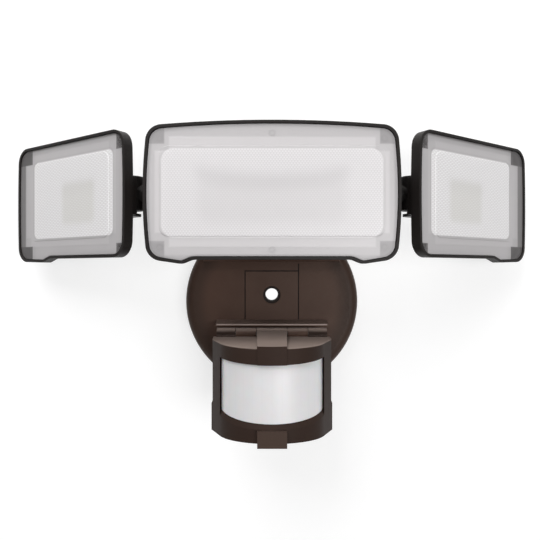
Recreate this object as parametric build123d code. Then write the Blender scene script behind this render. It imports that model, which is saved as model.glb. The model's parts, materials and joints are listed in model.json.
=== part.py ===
from build123d import *
from dataclasses import dataclass
from math import acos, atan2, cos, hypot, pi, sin
import os

# A wall-mounted security light: a round canopy carries a wide middle lamp head on a tilt hinge,
# a smaller lamp head on a two-way knuckle at each side, and a motion sensor on a hinge below.
# Millimetres. The wall is the plane Y = 0, the light faces -Y, +X is to the viewer's right and
# +Z is up. The origin is the centre of the canopy where it meets the wall.

# ---- clearances ----
RUN = 0.05          # a shaft in its bore, radial
SEAT = 0.3          # between pieces that lie side by side without touching
MOVE = 0.6          # between pieces that move past each other

# ---- wall canopy ----
CANOPY_R = 60.0
CANOPY_DEPTH = 18.0
CANOPY_SHOULDER = 6.6
CANOPY_WALL = 2.6
GASKET_T = 2.0
GASKET_WIDTH = 5.0
HOLE_Z = 4.5
HOLE_R = 4.4
COUNTERBORE_R = 6.0
COUNTERBORE_DEPTH = 1.2
HOLE_BOSS_R = 8.0
PANEL_HALF_WIDTH = 18.4
PANEL_TOP_Z = 21.3
PANEL_BOTTOM_Z = -12.4
GROOVE_W = 0.7
GROOVE_DEPTH = 0.7
BLOCK_BOTTOM_Z = 27.5
BLOCK_DEPTH = 4.0
BLOCK_INSET = 5.5
LIP_HALF_WIDTH = 37.8
LIP_REACH = 11.0
LIP_TOP_Z = -14.6
LIP_T = 1.4
LIP_SLOPE = 1.9

# ---- tilt hinge of the middle head ----
TILT_Y = -42.0
TILT_BOLT_R = 3.0
TILT_KNUCKLE_R = 8.0
TILT_Z = CANOPY_R - TILT_KNUCKLE_R
TILT_TONGUE_HALF = 11.0
TILT_EAR_T = 6.0
TILT_HEAD_R = 5.6
TILT_HEAD_T = 4.0
WASHER_T = 1.0
WASHER_R = 6.4

# ---- lamp heads; their heights are counted from the tilt axis ----
TILT_REACH = 42.0
HEAD_FRONT_Y = TILT_Y - TILT_REACH
RIM_W = 1.7
FLANGE_RECESS = 0.8
LENS_T = 2.0
WINDOW_RISE = 0.3
HEAD_GASKET_T = 0.8
HEAD_GASKET_W = 1.0
HEAD_GASKET_GAP = 0.2
CAVITY_EDGE = 6.4
HOUSING_WALL = 2.0
TUB_DEPTH = 13.8
BOARD_T = 1.6
CHIP_T = 0.6
REFLECTOR_T = 1.0
TRAY_FLANGE_T = 0.7
CREASE_W = 0.6
CREASE_DEPTH = 0.35
FIN_T = 1.8
FIN_PITCH = 8.0
FIN_TIP = 24.0
FIN_ROOT_HALF = 30.0
FIN_TIP_HALF = 22.0
SCREW_R = 1.0
SCREW_HEAD_R = 2.1
SCREW_HEAD_T = 1.3
SCREW_SKIN = 1.2
SCREW_INSET = 6.8
COVER_BOSS_R = 2.0
COVER_BOSS_H = 1.4
BOSS = 7.6
NOTCH = 9.1
HEAD_CENTRE_Z = 14.2
WINDOW_CENTRE_Z = 14.3
LED_CENTRE_Z = 13.2
WINDOW_H = 51.2
WINDOW_CORNER = 5.0

# ---- side knuckles ----
KNUCKLE_OUT = 10.9
KNUCKLE_DEPTH = 23.0
KNUCKLE_Y = HEAD_FRONT_Y + KNUCKLE_DEPTH
BARREL_R = 6.0
BARREL_BOTTOM_Z = 5.45
BARREL_TOP_Z = 26.1
PIVOT_PIN_R = 2.0
PIVOT_HEAD_R = 3.6
PIVOT_HEAD_T = 2.0
STUB_R = 4.5
STUB_SHOULDER_R = 5.5
STUB_THREAD_R = 4.0
SIDE_BOSS_INSET = 0.7
SIDE_BOSS_WALL = 12.4
SIDE_BOSS_BACK = 32.0
NUT_POCKET = 10.0
NUT_T = 5.0
NUT_FLAT_R = 6.5
SEAL_T = 0.6
EAR_T = 1.5
EAR_GAP = 1.95
EAR_R = 4.5
CRADLE_TOP_Z = 23.9
CRADLE_T = 3.0
SIDE_YAW = 33.9
PIVOT_INSET = 10.3
PIVOT_DEPTH = 16.0

# ---- motion sensor ----
HINGE_Y = -31.5
HINGE_Z = -20.6
HINGE_R = 3.9
HINGE_PIN_R = 1.5
HINGE_HALF = 36.3
HINGE_SPLITS = (10.0, 24.0)
NOSE_R = 32.8
NOSE_CENTRE_Y = -56.4
NOSE_FRONT_Y = NOSE_CENTRE_Y - NOSE_R
FRAME_SHOULDER = (37.3, -50.0)
VISOR_REAR_HALF = 38.2
VISOR_REAR_Y = -36.0
VISOR_TOP_Z = -22.0
VISOR_T = 3.0
BAND_T = 1.3
BAND_BOTTOM_Z = -31.4
BAND_SLOPE = 0.057
SILL_Z = -64.5
SILL_SLOPE = 0.12
SILL_DROP = 2.9
SILL_RUN = 1.2
FLOOR_INSET = 0.65
RIM_FRONT_Z = -74.9
RIM_SLOPE = 0.107
FLOOR_TOP_Z = -67.5
FLOOR_T = 2.0
PILLAR_BACK_Y = -48.0
LENS_R = 31.4
LENS_GAP = 0.1
OPENING_HALF = 31.0
SENSOR_LENS_T = 1.2
STRAP_FRONT_HALF = 8.3
STRAP_REAR_HALF = 10.0
STRAP_PROUD = 0.6
STRAP_FRONT_Z = -20.9
STRAP_REAR_Z = -18.4
CHIN_BLOCK_PROUD = 1.8
CHIN_BLOCK_TOP_Z = -67.6
CHIN_BLOCK_BOTTOM_Z = -76.9
CHIN_BLOCK_DEPTH = 14.0
CHIN_BLOCK_T = 4.0
CASE_HALF = 33.0
CASE_FRONT_Y = -54.0
CASE_TOP_BACK_Y = -38.5
CASE_BOTTOM_BACK_Y = -47.5
CASE_BOTTOM_Z = -76.0
CASE_WALL = 2.0
SENSOR_BOARD_Y = -53.8
SENSOR_BOARD_HALF = 29.0
SENSOR_BOARD_TOP_Z = -30.0
SENSOR_BOARD_BOTTOM_Z = -66.0
KNOB_X = 15.0
KNOB_Y = -66.0
KNOB_R = 4.6
KNOB_T = 3.8
KNOB_SHAFT_R = 1.5
BOARD_SCREW_R = 1.08
BOARD_SCREW_LENGTH = 4.5
BOARD_SCREW_INSET = 5.0
CASE_SCREW_R = 1.3
CASE_SCREW_OUT = 2.2
CASE_SCREW_REACH = 4.0
CASE_SCREW_Z = (-36.0, -62.0)
CASE_EAR_T = 2.0
CASE_EAR_HALF = 3.5
POT_SIZE = 7.5
POT_H = 4.0

OVERRUN = 1.0       # how far a cutting tool runs past the face that it opens


# ---- helpers ----
def block(x0, x1, y0, y1, z0, z1):
    centre = Pos((x0 + x1) / 2, (y0 + y1) / 2, (z0 + z1) / 2)
    return centre * Box(abs(x1 - x0), abs(y1 - y0), abs(z1 - z0))


def rod_x(radius, x0, x1, y, z):
    return Pos((x0 + x1) / 2, y, z) * Rot(0, 90, 0) * Cylinder(radius, abs(x1 - x0))


def rod_y(radius, y0, y1, x, z):
    return Pos(x, (y0 + y1) / 2, z) * Rot(90, 0, 0) * Cylinder(radius, abs(y1 - y0))


def rod_z(radius, z0, z1, x, y):
    return Pos(x, y, (z0 + z1) / 2) * Cylinder(radius, abs(z1 - z0))


def hex_x(flat_radius, x0, x1, y, z):
    low, high = sorted((x0, x1))
    profile = RegularPolygon(flat_radius, 6, major_radius=False)
    return extrude(Plane.YZ.offset(low) * Pos(y, z) * profile, amount=high - low)


def front_slab(profile, y0, y1):
    """A profile drawn in X and Z, from y0 at its front to y1 at its back."""
    return extrude(Plane.XZ.offset(-y1) * profile, amount=y1 - y0)


def plan_slab(profile, z0, z1):
    """A profile drawn in X and Y, from z0 up to z1."""
    return extrude(Pos(0, 0, z0) * profile, amount=z1 - z0)


def side_slab(points, x0, x1):
    """A polygon given as (Y, Z) points, from x0 to x1."""
    profile = make_face(Polyline(*points, close=True))
    return extrude(Plane.YZ.offset(x0) * profile, amount=x1 - x0)


def rounded(face, corner, radius):
    nearest = face.vertices().sort_by_distance((corner[0], corner[1], 0))[0]
    return fillet(nearest, radius)


def mirrored(shape):
    return mirror(shape, about=Plane.YZ)


# ---- wall canopy ----
def canopy_body(radius, depth, shoulder, back_y):
    body = rod_y(radius, -depth, back_y, 0, 0)
    front_edge = body.edges().filter_by(GeomType.CIRCLE).sort_by(Axis.Y)[0]
    return fillet(front_edge, shoulder)


def sensor_hinge_spans(half_gap):
    """X spans of the canopy's two hinge knuckles, between the sensor's three."""
    inner, outer = HINGE_SPLITS
    span = (inner + half_gap, outer - half_gap)
    return [span, (-span[1], -span[0])]


def wall_canopy():
    front_y = -CANOPY_DEPTH
    shell = canopy_body(CANOPY_R, CANOPY_DEPTH, CANOPY_SHOULDER, -GASKET_T)
    hollow = canopy_body(
        CANOPY_R - CANOPY_WALL,
        CANOPY_DEPTH - CANOPY_WALL,
        CANOPY_SHOULDER - CANOPY_WALL,
        0,
    )
    shell -= hollow
    shell += rod_y(HOLE_BOSS_R, front_y + CANOPY_WALL / 2, -GASKET_T, 0, HOLE_Z)

    # the raised upper block that carries the tilt hinge's ears
    disc = Circle(CANOPY_R - BLOCK_INSET)
    upper = Pos(0, BLOCK_BOTTOM_Z + CANOPY_R) * Rectangle(2 * CANOPY_R, 2 * CANOPY_R)
    raised = front_slab(disc & upper, front_y - BLOCK_DEPTH, front_y + CANOPY_WALL / 2)
    front_edges = raised.edges().group_by(Axis.Y)[0]
    raised = fillet(front_edges, BLOCK_DEPTH * 0.35)
    shell += raised
    shell += tilt_ears(front_y - BLOCK_DEPTH + CANOPY_WALL)

    # the rain lip over the sensor's hinge, sloping down to its front edge
    lip_front = front_y - LIP_REACH
    lip = side_slab(
        [
            (front_y + CANOPY_WALL / 2, LIP_TOP_Z + LIP_SLOPE),
            (front_y, LIP_TOP_Z + LIP_SLOPE),
            (lip_front, LIP_TOP_Z),
            (lip_front, LIP_TOP_Z - LIP_T),
            (front_y + CANOPY_WALL / 2, LIP_TOP_Z - LIP_T - LIP_SLOPE / 2),
        ],
        -LIP_HALF_WIDTH,
        LIP_HALF_WIDTH,
    )
    shell += lip
    for low, high in sensor_hinge_spans(SEAT):
        web = block(
            low, high, HINGE_Y, front_y + CANOPY_WALL / 2,
            HINGE_Z - HINGE_R * 0.7, HINGE_Z + HINGE_R * 0.5,
        )
        shell += rod_x(HINGE_R, low, high, HINGE_Y, HINGE_Z) + web
        shell -= rod_x(HINGE_PIN_R, low, high, HINGE_Y, HINGE_Z)

    # the screw hole with its counterbore, and the grooves that outline the front panel
    shell -= rod_y(HOLE_R, front_y - OVERRUN, OVERRUN, 0, HOLE_Z)
    shell -= rod_y(COUNTERBORE_R, front_y - OVERRUN, front_y + COUNTERBORE_DEPTH, 0, HOLE_Z)
    groove_back = front_y + GROOVE_DEPTH
    for side in (-1, 1):
        x = side * PANEL_HALF_WIDTH
        top = PANEL_TOP_Z if side < 0 else BLOCK_BOTTOM_Z - 1.5
        shell -= block(
            x - GROOVE_W / 2, x + GROOVE_W / 2,
            front_y - OVERRUN, groove_back, PANEL_BOTTOM_Z, top,
        )
    shell -= block(
        -PANEL_HALF_WIDTH, PANEL_HALF_WIDTH, front_y - OVERRUN, groove_back,
        PANEL_TOP_Z - GROOVE_W, PANEL_TOP_Z,
    )
    return shell


def tilt_ears(root_y):
    """The two ears of the tilt hinge, with a bore for the bolt."""
    ears = []
    inner = TILT_TONGUE_HALF + SEAT + WASHER_T
    outline = [
        (root_y, TILT_Z + TILT_KNUCKLE_R - 1),
        (TILT_Y, TILT_Z + TILT_KNUCKLE_R),
        (TILT_Y - TILT_KNUCKLE_R * 0.7, TILT_Z),
        (TILT_Y, TILT_Z - TILT_KNUCKLE_R),
        (root_y, TILT_Z - TILT_KNUCKLE_R * 2),
    ]
    for side in (-1, 1):
        low, high = sorted((side * inner, side * (inner + TILT_EAR_T)))
        ear = side_slab(outline, low, high)
        ear += rod_x(TILT_KNUCKLE_R, low, high, TILT_Y, TILT_Z)
        ears.append(ear - rod_x(TILT_BOLT_R, low, high, TILT_Y, TILT_Z))
    return ears[0] + ears[1]


def wall_gasket():
    outer = CANOPY_R - 0.6
    ring = rod_y(outer, -GASKET_T, 0, 0, 0)
    return ring - rod_y(outer - GASKET_WIDTH, -GASKET_T, 0, 0, 0)


def tilt_outer_x():
    return TILT_TONGUE_HALF + SEAT + WASHER_T + TILT_EAR_T


def tilt_bolt():
    end = tilt_outer_x()
    shank = rod_x(TILT_BOLT_R, -end - TILT_HEAD_T - 2, end, TILT_Y, TILT_Z)
    return shank + hex_x(TILT_HEAD_R, end, end + TILT_HEAD_T, TILT_Y, TILT_Z)


def tilt_nut():
    end = tilt_outer_x()
    nut = hex_x(TILT_HEAD_R, -end - TILT_HEAD_T, -end, TILT_Y, TILT_Z)
    return nut - rod_x(TILT_BOLT_R, -end - TILT_HEAD_T, -end, TILT_Y, TILT_Z)


def tilt_washers():
    """One washer on each side of the tongue, lying against the ears."""
    inner = TILT_TONGUE_HALF + SEAT
    washers = []
    for side in (-1, 1):
        span = (side * inner, side * (inner + WASHER_T))
        disc = rod_x(WASHER_R, *span, TILT_Y, TILT_Z)
        washers.append(disc - rod_x(TILT_BOLT_R, *span, TILT_Y, TILT_Z))
    return Compound(washers)


def sensor_hinge_pin():
    return rod_x(HINGE_PIN_R, -HINGE_HALF + 2, HINGE_HALF - 0.5, HINGE_Y, HINGE_Z)


# ---- lamp heads ----
@dataclass
class Head:
    """One lamp head in its own frame: X across, Y back from the rim, Z up from the tilt axis.

    The underside's points are given as (distance from the head's side, height).
    """
    width: float
    rim_depth: float
    bottom_z: float
    top_z: float
    top_rise: float
    side_bow: float
    corner_r: float
    low_corners: tuple
    foot: tuple
    both_feet: bool
    foot_r: float
    window_inset: float
    tray_edge: float
    led_w: float
    led_h: float
    chip_columns: int
    chip_rows: int
    fins: tuple
    middle_bosses: bool

    @property
    def half(self):
        return self.width / 2

    @property
    def corner_x(self):
        return self.half - self.side_bow

    @property
    def shoulder_z(self):
        return self.top_z - self.top_rise

    @property
    def window_w(self):
        return self.width - 2 * self.window_inset

    @property
    def foot_points(self):
        left = [(inset_x - self.half, z) for inset_x, z in self.foot]
        right = [(-x, z) for x, z in reversed(left)]
        return left + right if self.both_feet else left

    @property
    def cavity_floor(self):
        return self.rim_depth - HOUSING_WALL


MIDDLE = Head(
    width=146.2, rim_depth=8.5, bottom_z=-24.5, top_z=54.4, top_rise=3.2, side_bow=2.4,
    corner_r=9.5, low_corners=(-24.2, -24.2), foot=((21.6, -27.0), (27.6, -24.5)),
    both_feet=True, foot_r=6.0, window_inset=9.2, tray_edge=3.2, led_w=70.0, led_h=25.0,
    chip_columns=10, chip_rows=4, fins=(-5, -4, -3, -2, 2, 3, 4, 5), middle_bosses=True,
)
SIDE = Head(
    width=107.9, rim_depth=7.4, bottom_z=-23.0, top_z=51.4, top_rise=0.0, side_bow=1.0,
    corner_r=10.0, low_corners=(-24.8, -23.0), foot=((27.95, -25.5), (35.45, -23.0)),
    both_feet=False, foot_r=6.0, window_inset=14.7, tray_edge=4.6, led_w=34.0, led_h=26.0,
    chip_columns=5, chip_rows=4, fins=(-3, -2, -1, 0, 1, 2, 3), middle_bosses=False,
)
SIDE_BOSS_END_X = MIDDLE.half - SIDE_BOSS_INSET
KNUCKLE_X = MIDDLE.half + KNUCKLE_OUT


def head_outline(head, inside=0.0):
    """The rim's outline, or one that lies inside it by a distance.

    The sides are bowed, the top is bowed or straight, and the underside has a foot.
    """
    side_x = head.corner_x - inside
    middle_x = head.half - inside
    top_z = head.top_z - inside
    shoulder_z = head.shoulder_z - inside
    inner_points = [(x, z + inside) for x, z in head.foot_points]
    low_left = (-side_x, head.low_corners[0] + inside)
    low_right = (side_x, head.low_corners[1] + inside)
    middle_z = (low_left[1] + shoulder_z) / 2
    left = ThreePointArc(low_left, (-middle_x, middle_z), (-side_x, shoulder_z))
    right = ThreePointArc((side_x, shoulder_z), (middle_x, middle_z), low_right)
    if head.top_rise > 0:
        top = ThreePointArc((-side_x, shoulder_z), (0, top_z), (side_x, shoulder_z))
    else:
        top = Line((-side_x, shoulder_z), (side_x, shoulder_z))
    underside = Polyline(low_right, *reversed(inner_points), low_left)
    face = make_face(Curve() + [left, top, right, underside])
    for corner in ((-side_x, shoulder_z), (side_x, shoulder_z), low_left, low_right):
        face = rounded(face, corner, head.corner_r - inside)
    for x, z in inner_points:
        is_tip = z - inside < head.bottom_z - 0.1
        radius = head.foot_r - inside if is_tip else head.foot_r + inside
        face = rounded(face, (x, z), radius)
    return face


def inset(face, distance):
    return offset(face, amount=-distance)


def corner_points(head, inside):
    """A point near each corner of the head, inside it by a distance."""
    x = head.corner_x - inside
    low_left, low_right = (z + inside for z in head.low_corners)
    high = head.shoulder_z - inside
    return [(-x, low_left), (x, low_right), (-x, high), (x, high)]


def screw_places(head):
    places = corner_points(head, SCREW_INSET)
    if head.middle_bosses:
        places += [(0, head.bottom_z + SCREW_INSET - 1.2), (0, head.top_z - SCREW_INSET)]
    return places


def boss_outline(head):
    """Squares round the corner screws and circles round the middle ones."""
    face = Sketch()
    for x, z in screw_places(head):
        shape = Rectangle(BOSS, BOSS) if x else Circle(BOSS / 2)
        face += Pos(x, z) * shape
    return face


def flange_notches(head):
    """What the tray's flange leaves free: its corners, and the middle cover bosses."""
    face = Sketch()
    for x, z in corner_points(head, NOTCH / 2):
        face += Pos(x, z) * Rectangle(NOTCH, NOTCH)
    for x, z in screw_places(head)[4:]:
        face += Pos(x, z) * Circle(COVER_BOSS_R + SEAT)
    return face


def cavity_outline(head):
    """The hollow inside the rim, notched round the screw bosses."""
    low = head.bottom_z + CAVITY_EDGE
    high = head.shoulder_z - CAVITY_EDGE
    width = head.width - 2 * CAVITY_EDGE
    face = Pos(0, (low + high) / 2) * Rectangle(width, high - low)
    return face - boss_outline(head)


def pan(head, grow, y0, y1, led_grow):
    """A shallow four-sided pan from the window, at y0, to the chips' field, at y1."""
    rim = Pos(0, WINDOW_CENTRE_Z) * RectangleRounded(
        head.window_w + 2 * grow, WINDOW_H + 2 * grow, WINDOW_CORNER
    )
    floor = Pos(0, LED_CENTRE_Z) * RectangleRounded(
        head.led_w + 2 * led_grow, head.led_h + 2 * led_grow, WINDOW_CORNER / 2
    )
    return loft([Plane.XZ.offset(-y0) * rim, Plane.XZ.offset(-y1) * floor], ruled=True)


SEAT_Y = FLANGE_RECESS + LENS_T + HEAD_GASKET_T
COVER_BOSS_END_Y = SEAT_Y + COVER_BOSS_H
BOARD_BACK_Y = TUB_DEPTH - HOUSING_WALL
BOARD_FRONT_Y = BOARD_BACK_Y - BOARD_T
CHIP_FRONT_Y = BOARD_FRONT_Y - CHIP_T


def deep_cavity(head):
    """The tapering hollow that holds the reflector tray and the board."""
    return pan(head, 1.3, head.cavity_floor - 0.01, BOARD_BACK_Y, 4.0)


def head_housing(head):
    outline = head_outline(head)
    housing = front_slab(outline, 0, head.rim_depth)
    back_edges = housing.edges().group_by(Axis.Y)[-1]
    housing = chamfer(back_edges, 1.0)
    housing += pan(head, 3.0, head.rim_depth - 0.5, TUB_DEPTH, 7.0)
    for step in head.fins:
        x = step * FIN_PITCH
        housing += side_slab(
            [
                (head.rim_depth - OVERRUN, HEAD_CENTRE_Z - FIN_ROOT_HALF),
                (head.rim_depth + 2, HEAD_CENTRE_Z - FIN_ROOT_HALF),
                (FIN_TIP, HEAD_CENTRE_Z - FIN_TIP_HALF),
                (FIN_TIP, HEAD_CENTRE_Z + FIN_TIP_HALF),
                (head.rim_depth + 2, HEAD_CENTRE_Z + FIN_ROOT_HALF),
                (head.rim_depth - OVERRUN, HEAD_CENTRE_Z + FIN_ROOT_HALF),
            ],
            x - FIN_T / 2,
            x + FIN_T / 2,
        )
    housing -= front_slab(head_outline(head, RIM_W), -OVERRUN, SEAT_Y)
    housing -= front_slab(cavity_outline(head), SEAT_Y - OVERRUN, head.cavity_floor)
    housing -= deep_cavity(head)
    for x, z in screw_places(head):
        socket_end = COVER_BOSS_END_Y + HEAD_GASKET_GAP
        housing -= rod_y(COVER_BOSS_R + HEAD_GASKET_GAP, SEAT_Y - OVERRUN, socket_end, x, z)
        housing -= rod_y(SCREW_R + 0.1, socket_end - OVERRUN, head.rim_depth + OVERRUN, x, z)
    return housing


def head_gasket(head):
    edge = RIM_W + HEAD_GASKET_GAP
    ring = head_outline(head, edge) - head_outline(head, edge + HEAD_GASKET_W)
    return front_slab(ring, SEAT_Y - HEAD_GASKET_T, SEAT_Y)


def head_lens(head):
    """The clear cover: a flange inside the rim, a raised window, and screw bosses behind."""
    back_y = FLANGE_RECESS + LENS_T
    lens = front_slab(head_outline(head, RIM_W + SEAT), FLANGE_RECESS, back_y)
    window = Pos(0, WINDOW_CENTRE_Z) * RectangleRounded(head.window_w, WINDOW_H, WINDOW_CORNER)
    raised = front_slab(window, FLANGE_RECESS - WINDOW_RISE, back_y)
    top_edges = raised.edges().group_by(Axis.Y)[0]
    lens += chamfer(top_edges, WINDOW_RISE * 0.7)
    lens -= front_slab(inset(window, 1.5), back_y - WINDOW_RISE, back_y + OVERRUN)
    for x, z in screw_places(head):
        lens += rod_y(COVER_BOSS_R, back_y - 0.5, COVER_BOSS_END_Y, x, z)
        lens -= rod_y(SCREW_R + 0.02, FLANGE_RECESS + SCREW_SKIN, COVER_BOSS_END_Y, x, z)
    return lens


def flange_creases(head):
    """Shallow grooves moulded along the tray's flange, in (X, Z) pairs of end points."""
    low = head.bottom_z + 6.9
    if not head.middle_bosses:
        x = head.half - 7.3
        return [((-x + 8, low), (x - 2, low)), ((x, low + 8), (x, head.shoulder_z - 17))]
    high = head.shoulder_z - 5.7
    lines = []
    for side in (-1, 1):
        lines.append(((side * 9.5, low), (side * 54.5, low)))
        lines.append(((side * 6.0, low - 2.4), (side * 9.5, low)))
        lines.append(((side * 9.5, high), (side * 50.0, high)))
        lines.append(((side * 6.0, high - 3.2), (side * 9.5, high)))
    return lines


def crease(start, end, y0, y1):
    """A narrow bar between two (X, Z) points."""
    length = hypot(end[0] - start[0], end[1] - start[1])
    turn = atan2(end[1] - start[1], end[0] - start[0]) * 180 / pi
    middle = Pos((start[0] + end[0]) / 2, (start[1] + end[1]) / 2)
    return front_slab(middle * Rot(0, 0, turn) * Rectangle(length, CREASE_W), y0, y1)


def head_reflector(head):
    """The white tray: a notched flange on the housing's seat and four sloping walls."""
    top_y = SEAT_Y - TRAY_FLANGE_T
    outline = head_outline(head, head.tray_edge) - flange_notches(head)
    flange = front_slab(outline, top_y, SEAT_Y)
    for start, end in flange_creases(head):
        flange -= crease(start, end, top_y - OVERRUN, top_y + CREASE_DEPTH)
    tray = pan(head, REFLECTOR_T, top_y, CHIP_FRONT_Y, REFLECTOR_T)
    bore = pan(head, 0, top_y, CHIP_FRONT_Y, 0)
    return flange + tray - bore


def head_led_board(head):
    profile = Pos(0, LED_CENTRE_Z) * Rectangle(head.led_w + 4, head.led_h + 4)
    return front_slab(profile, BOARD_FRONT_Y, BOARD_BACK_Y)


def head_led_chips(head):
    pitch_x = head.led_w / head.chip_columns
    pitch_z = head.led_h / head.chip_rows
    chips = []
    for column in range(head.chip_columns):
        for row in range(head.chip_rows):
            x = (column - (head.chip_columns - 1) / 2) * pitch_x
            z = LED_CENTRE_Z + (row - (head.chip_rows - 1) / 2) * pitch_z
            chips.append(block(x - 1.75, x + 1.75, CHIP_FRONT_Y, BOARD_FRONT_Y, z - 1.4, z + 1.4))
    return Compound(chips)


def head_cover_screws(head):
    """Pan-head screws that come from behind and end in the cover's bosses."""
    screws = []
    for x, z in screw_places(head):
        back_y = head.rim_depth
        top = rod_y(SCREW_HEAD_R, back_y, back_y + SCREW_HEAD_T, x, z)
        top = chamfer(top.edges().filter_by(GeomType.CIRCLE).sort_by(Axis.Y)[-1], 0.4)
        for turn in (0, 90):
            slot = Box(0.5, 0.6, SCREW_HEAD_R * 1.2)
            top -= Pos(x, back_y + SCREW_HEAD_T, z) * Rot(0, turn, 0) * slot
        tip_y = FLANGE_RECESS + SCREW_SKIN + 0.2
        screws.append(top + rod_y(SCREW_R, tip_y, back_y, x, z))
    return Compound(screws)


# ---- middle head ----
def place_middle(shape):
    return Pos(0, HEAD_FRONT_Y, TILT_Z) * shape


def middle_housing():
    """The middle housing with its tilt tongue and side bosses, in the head's own frame."""
    housing = head_housing(MIDDLE)

    # the tongue of the tilt hinge
    tongue = side_slab(
        [
            (TUB_DEPTH - 2, -TILT_KNUCKLE_R * 2),
            (TUB_DEPTH - 2, TILT_KNUCKLE_R * 2.5),
            (TILT_REACH, TILT_KNUCKLE_R),
            (TILT_REACH, -TILT_KNUCKLE_R),
        ],
        -TILT_TONGUE_HALF,
        TILT_TONGUE_HALF,
    )
    tongue += rod_x(TILT_KNUCKLE_R, -TILT_TONGUE_HALF, TILT_TONGUE_HALF, TILT_REACH, 0)
    tongue -= rod_x(TILT_BOLT_R + RUN, -TILT_TONGUE_HALF, TILT_TONGUE_HALF, TILT_REACH, 0)
    housing += tongue

    # a boss at each side, with the bore of a knuckle's stub and a pocket for its nut
    stub_z = (BARREL_BOTTOM_Z + BARREL_TOP_Z) / 2
    wall_end = SIDE_BOSS_END_X - SIDE_BOSS_WALL
    pocket_end = wall_end - NUT_POCKET
    hollow = deep_cavity(MIDDLE)
    for side in (-1, 1):
        low, high = sorted((side * (pocket_end - 4), side * SIDE_BOSS_END_X))
        boss = block(low, high, MIDDLE.rim_depth - OVERRUN, SIDE_BOSS_BACK,
                     BARREL_BOTTOM_Z, BARREL_TOP_Z)
        boss = fillet(boss.edges().filter_by(Axis.X).group_by(Axis.Y)[-1], 4) - hollow
        low, high = sorted((side * pocket_end, side * wall_end))
        boss -= block(low, high, KNUCKLE_DEPTH - 8, SIDE_BOSS_BACK + OVERRUN,
                      stub_z - 8, stub_z + 8)
        boss -= rod_x(STUB_R + RUN, side * pocket_end, side * (SIDE_BOSS_END_X + OVERRUN),
                      KNUCKLE_DEPTH, stub_z)
        housing += boss
    return housing


# ---- side knuckle and side head, drawn for the left and mirrored for the right ----
def knuckle():
    stub_z = (BARREL_BOTTOM_Z + BARREL_TOP_Z) / 2
    shoulder_x = SIDE_BOSS_END_X + SEAT + SEAL_T
    wall_end = SIDE_BOSS_END_X - SIDE_BOSS_WALL
    barrel = rod_z(BARREL_R, BARREL_BOTTOM_Z, BARREL_TOP_Z, -KNUCKLE_X, KNUCKLE_Y)
    rims = barrel.edges().filter_by(GeomType.CIRCLE)
    body = chamfer(rims, 0.6)
    body += rod_x(STUB_SHOULDER_R, -KNUCKLE_X, -shoulder_x, KNUCKLE_Y, stub_z)
    body += rod_x(STUB_R, -KNUCKLE_X, -wall_end, KNUCKLE_Y, stub_z)
    body += rod_x(STUB_THREAD_R, -KNUCKLE_X, -wall_end + NUT_T + 2, KNUCKLE_Y, stub_z)
    body -= rod_z(PIVOT_PIN_R + RUN, BARREL_BOTTOM_Z - 1, BARREL_TOP_Z + 1,
                  -KNUCKLE_X, KNUCKLE_Y)
    recess = BARREL_TOP_Z - PIVOT_HEAD_T - 0.7
    body -= rod_z(PIVOT_HEAD_R + 0.3, recess, BARREL_TOP_Z + 1, -KNUCKLE_X, KNUCKLE_Y)
    return body


def knuckle_nut():
    stub_z = (BARREL_BOTTOM_Z + BARREL_TOP_Z) / 2
    near = -(SIDE_BOSS_END_X - SIDE_BOSS_WALL) + SEAT
    nut = hex_x(NUT_FLAT_R, near, near + NUT_T, KNUCKLE_Y, stub_z)
    return nut - rod_x(STUB_THREAD_R, near, near + NUT_T, KNUCKLE_Y, stub_z)


def knuckle_seal():
    stub_z = (BARREL_BOTTOM_Z + BARREL_TOP_Z) / 2
    near = -SIDE_BOSS_END_X - SEAT
    ring = rod_x(STUB_SHOULDER_R, near - SEAL_T, near, KNUCKLE_Y, stub_z)
    return ring - rod_x(STUB_R, near - SEAL_T, near, KNUCKLE_Y, stub_z)


def pivot_screw():
    head_base = BARREL_TOP_Z - PIVOT_HEAD_T - 0.5
    bottom = BARREL_BOTTOM_Z - EAR_GAP - EAR_T
    screw = rod_z(PIVOT_PIN_R, bottom, head_base, -KNUCKLE_X, KNUCKLE_Y)
    return screw + rod_z(PIVOT_HEAD_R, head_base, head_base + PIVOT_HEAD_T,
                         -KNUCKLE_X, KNUCKLE_Y)


def place_knuckle(shape):
    return Pos(0, 0, TILT_Z) * shape


def place_side(shape):
    """Moves a side head from its own frame so that its pivot lands on the knuckle's barrel."""
    pivot_x = SIDE.half - PIVOT_INSET
    to_pivot = Pos(-pivot_x, -PIVOT_DEPTH, 0)
    return Pos(-KNUCKLE_X, KNUCKLE_Y, TILT_Z) * Rot(0, 0, -SIDE_YAW) * to_pivot * shape


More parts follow.
